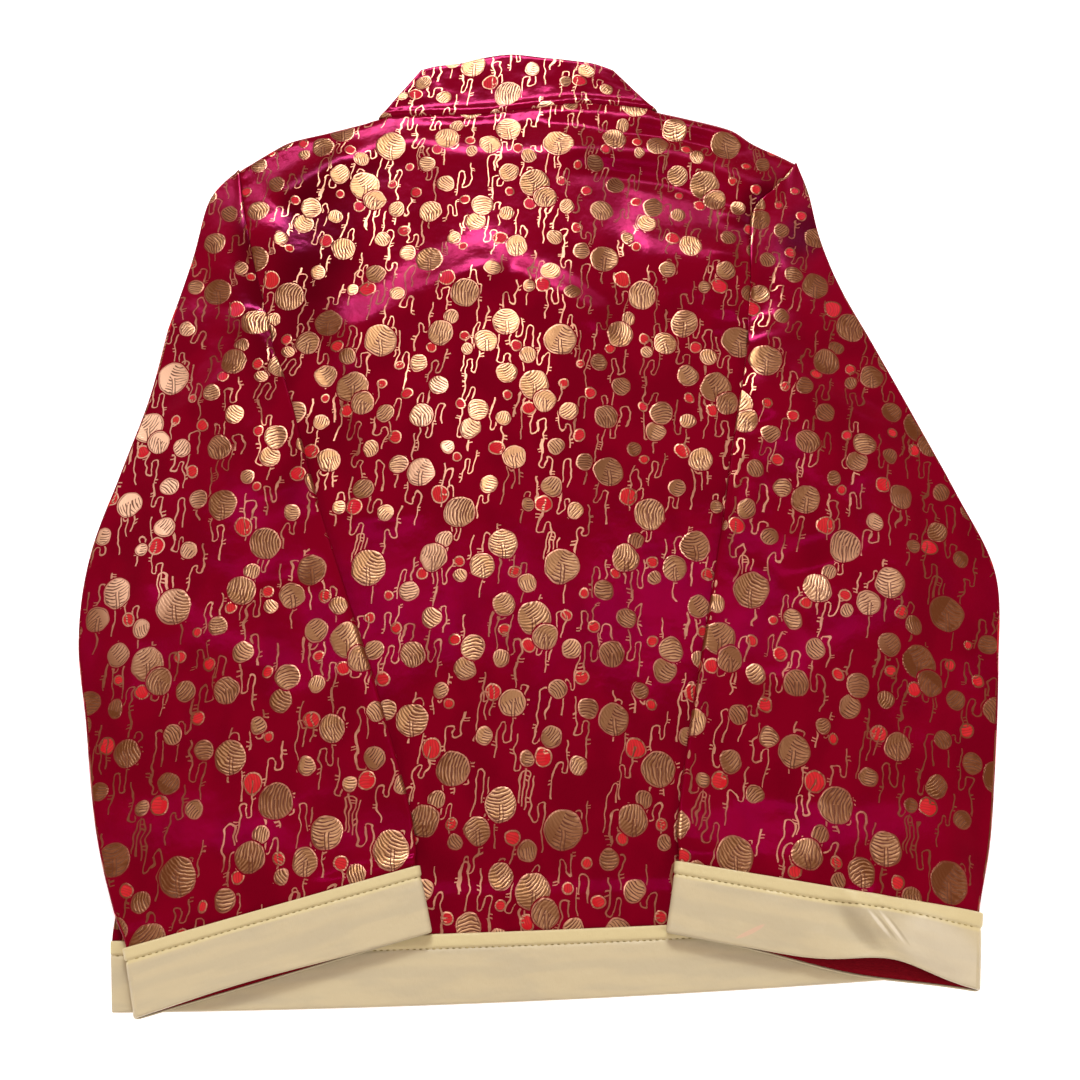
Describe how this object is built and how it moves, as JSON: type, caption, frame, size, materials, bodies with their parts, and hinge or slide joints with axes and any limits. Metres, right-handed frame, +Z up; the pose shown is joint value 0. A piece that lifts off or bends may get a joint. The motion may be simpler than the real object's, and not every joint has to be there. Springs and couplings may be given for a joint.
{
  "type": "tang jacket",
  "caption": "Child's tang jacket in satin brocade with a stand collar and turned-up bands at cuffs and hem, laid flat on its front with the sleeves folded over the back.",
  "frame": {"origin": "middle of the jacket's outline, on the surface that it lies on", "axes": "+Y towards the collar, +X to the wearer's right, +Z up, out of the jacket's back"},
  "size_m": [0.4345, 0.5109, 0.0134],
  "materials": {
    "brocade": "crimson satin with gold and red woven balls and gold vines",
    "cream_satin": "soft cream satin, topstitched",
    "frog_cord": "crimson satin cord"
  },
  "bodies": {
    "root": {"back": "brocade", "front_left": "brocade", "front_right": "brocade", "sleeve_left": "brocade", "sleeve_right": "brocade", "collar": "brocade", "hem_back": "cream_satin", "hem_front_left": "cream_satin", "hem_front_right": "cream_satin", "cuff_left": "cream_satin", "cuff_right": "cream_satin", "frog_1": "frog_cord", "frog_2": "frog_cord", "frog_3": "frog_cord", "frog_4": "frog_cord", "frog_5": "frog_cord"}
  },
  "joints": []
}
